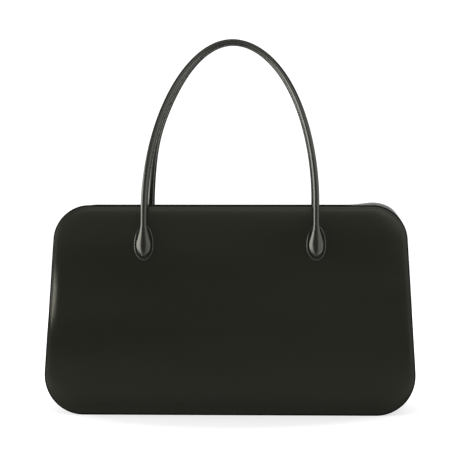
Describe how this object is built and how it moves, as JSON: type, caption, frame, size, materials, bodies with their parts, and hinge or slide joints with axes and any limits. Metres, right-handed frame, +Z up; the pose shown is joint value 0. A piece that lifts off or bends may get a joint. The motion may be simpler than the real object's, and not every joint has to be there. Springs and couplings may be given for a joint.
{
  "type": "tote bag",
  "caption": "Structured leather tote bag with leaning trapezoid panels, a gusset round its sides and base, an open mouth and rolled top handles.",
  "frame": {"origin": "on the floor under the middle of the bag", "axes": "+Z up, +X to the right seen from the front, -Y towards the viewer of the front panel"},
  "size_m": [0.3702, 0.1216, 0.3791],
  "materials": {
    "panel_leather": "smooth polished black calf, softly glossy",
    "gusset_leather": "smooth black calf, satin",
    "handle_leather": "tightly rolled black calf, glossy",
    "tab_leather": "smooth black calf, glossy rim"
  },
  "bodies": {
    "root": {"front_panel": "panel_leather", "back_panel": "panel_leather", "gusset": "gusset_leather", "front_handle": "handle_leather", "back_handle": "handle_leather", "front_left_tab": "tab_leather", "front_right_tab": "tab_leather", "back_left_tab": "tab_leather", "back_right_tab": "tab_leather"}
  },
  "joints": []
}
